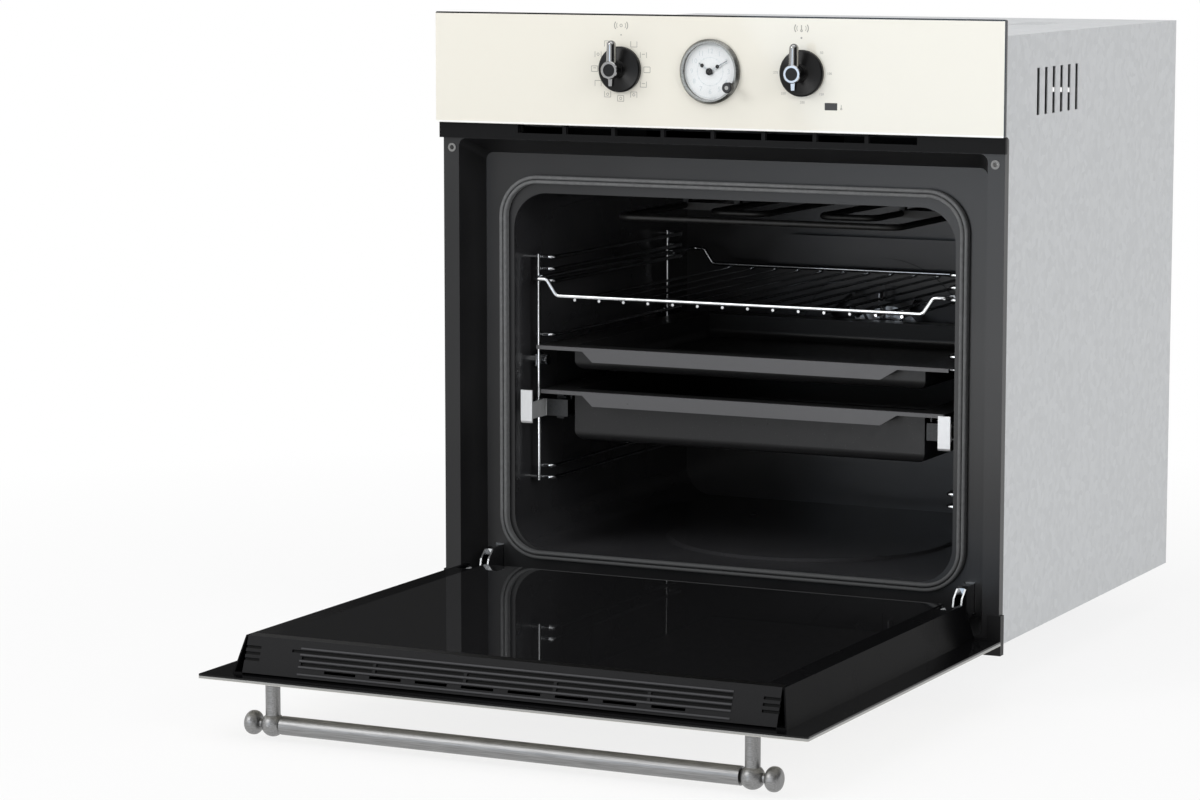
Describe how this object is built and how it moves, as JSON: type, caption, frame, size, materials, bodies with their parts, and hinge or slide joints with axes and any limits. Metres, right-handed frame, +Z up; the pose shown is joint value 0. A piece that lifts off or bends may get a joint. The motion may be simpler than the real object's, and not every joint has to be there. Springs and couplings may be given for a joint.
{
  "type": "built-in oven",
  "caption": "Built-in electric oven with its door open: ivory glass control panel, clock, enamelled cavity with wire shelf, trays on runners, and a bar handle.",
  "frame": {"origin": "Middle of the body's underside, in the plane of the cabinet's face: on the shelf of the niche.", "axes": "+X to the right seen from the front, +Y into the cabinet, +Z up."},
  "size_m": [0.595, 1.028, 0.637],
  "materials": {
    "black_enamel": "satin",
    "light_grey_plastic": "matte",
    "black_coated_steel": "satin",
    "black_plastic": "satin",
    "ivory_glass": "gloss",
    "galvanised_steel": "satin",
    "element_steel": "satin",
    "dark_grey_metal": "satin",
    "white_dial": "matte",
    "clear_glass": "gloss",
    "lamp_window": "gloss",
    "grey_silicone": "matte",
    "aluminium": "satin",
    "ceramic": "matte",
    "chrome_wire": "polished",
    "tray_enamel": "satin",
    "runner_steel": "satin",
    "mineral_wool": "matte",
    "dark_glass": "gloss",
    "gloss_black_metal": "gloss",
    "pewter_metal": "brushed"
  },
  "bodies": {
    "oven": {"front_frame": "black_enamel", "fixing_bushes": "light_grey_plastic", "lower_trim": "black_coated_steel", "vent_strip": "black_plastic", "control_panel_glass": "ivory_glass", "panel_bracket": "galvanised_steel", "selector_switch": "black_plastic", "thermostat_body": "galvanised_steel", "thermostat_sensor": "element_steel", "clock_case": "dark_grey_metal", "clock_dial": "white_dial", "clock_glass": "clear_glass", "indicator_lamp": "lamp_window", "cavity_shell": "black_enamel", "door_seal": "grey_silicone", "fan_cover": "black_enamel", "convection_motor": "galvanised_steel", "ring_element": "element_steel", "grill_element": "element_steel", "bottom_element": "element_steel", "lamp_glass": "clear_glass", "lamp_bulb": "clear_glass", "lamp_holder": "ceramic", "side_rack_left": "chrome_wire", "side_rack_right": "chrome_wire", "rack_nuts": "chrome_wire", "runner_fixed_rails": "runner_steel", "insulation_wrap": "mineral_wool", "side_casings": "galvanised_steel", "top_casing": "galvanised_steel", "back_cover": "galvanised_steel", "base_plate": "galvanised_steel", "cooling_fan_housing": "galvanised_steel", "cooling_fan_motor": "galvanised_steel", "terminal_box": "black_plastic", "hinge_arms": "chrome_wire", "hinge_receivers": "galvanised_steel"},
    "door": {"door_outer_glass": "ivory_glass", "door_middle_glass": "clear_glass", "door_inner_glass": "dark_glass", "door_side_profiles": "gloss_black_metal", "door_bottom_profile": "gloss_black_metal", "door_vent_moulding": "black_plastic", "handle_bar": "pewter_metal", "handle_posts": "pewter_metal", "hinge_channels": "galvanised_steel", "hinge_pins": "runner_steel", "hinge_springs": "runner_steel"},
    "selector_lever": {"selector_knob": "black_plastic"},
    "thermostat_lever": {"thermostat_knob": "black_plastic"},
    "clock_stem": {"clock_set_knob": "black_plastic"},
    "hour_hand": {"clock_hour_hand": "black_coated_steel"},
    "minute_hand": {"clock_minute_hand": "black_coated_steel"},
    "shelf": {"wire_shelf": "chrome_wire"},
    "upper_tray": {"shallow_tray": "tray_enamel"},
    "lower_tray": {"deep_tray": "tray_enamel", "runner_inner_members": "runner_steel"},
    "middle_members": {"runner_middle_members": "runner_steel"},
    "oven_fan": {"convection_fan": "aluminium"},
    "cooling_rotor": {"cooling_fan_rotor": "aluminium"}
  },
  "joints": [
    {"name": "door_hinge", "type": "hinge", "parent": "oven", "child": "door", "pos_m": [0, -0.01, 0.0205], "axis": [-1, 0, 0], "range_deg": [0, 90]},
    {"name": "selector_turn", "type": "hinge", "parent": "oven", "child": "selector_lever", "pos_m": [-0.095, -0.03, 0.542], "axis": [0, 1, 0], "continuous": true},
    {"name": "thermostat_turn", "type": "hinge", "parent": "oven", "child": "thermostat_lever", "pos_m": [0.095, -0.03, 0.542], "axis": [0, 1, 0], "range_deg": [0, 280]},
    {"name": "clock_minute_turn", "type": "hinge", "parent": "oven", "child": "minute_hand", "pos_m": [0, -0.022, 0.5417], "axis": [0, 1, 0], "continuous": true},
    {"name": "clock_hour_turn", "type": "hinge", "parent": "oven", "child": "hour_hand", "pos_m": [0, -0.022, 0.5417], "axis": [0, 1, 0], "continuous": true},
    {"name": "clock_set_turn", "type": "hinge", "parent": "oven", "child": "clock_stem", "pos_m": [0.02468, -0.03, 0.52745], "axis": [0, 1, 0], "continuous": true},
    {"name": "shelf_slide", "type": "slide", "parent": "oven", "child": "shelf", "axis": [0, 1, 0], "range_m": [-0.3, 0]},
    {"name": "upper_tray_slide", "type": "slide", "parent": "oven", "child": "upper_tray", "axis": [0, 1, 0], "range_m": [-0.3, 0]},
    {"name": "lower_tray_slide", "type": "slide", "parent": "oven", "child": "lower_tray", "axis": [0, 1, 0], "range_m": [-0.3, 0]},
    {"name": "runner_follow", "type": "slide", "parent": "oven", "child": "middle_members", "axis": [0, 1, 0], "range_m": [-0.15, 0]},
    {"name": "oven_fan_spin", "type": "hinge", "parent": "oven", "child": "oven_fan", "pos_m": [0, 0.436, 0.226], "axis": [0, 1, 0], "continuous": true},
    {"name": "cooling_fan_spin", "type": "hinge", "parent": "oven", "child": "cooling_rotor", "pos_m": [0, 0.24, 0.5054], "axis": [1, 0, 0], "continuous": true}
  ],
  "couplings": [
    {"joint": "clock_hour_turn", "follows": "clock_minute_turn", "ratio": 0.083333},
    {"joint": "clock_set_turn", "follows": "clock_minute_turn", "ratio": -1},
    {"joint": "runner_follow", "follows": "lower_tray_slide", "ratio": 0.5}
  ]
}
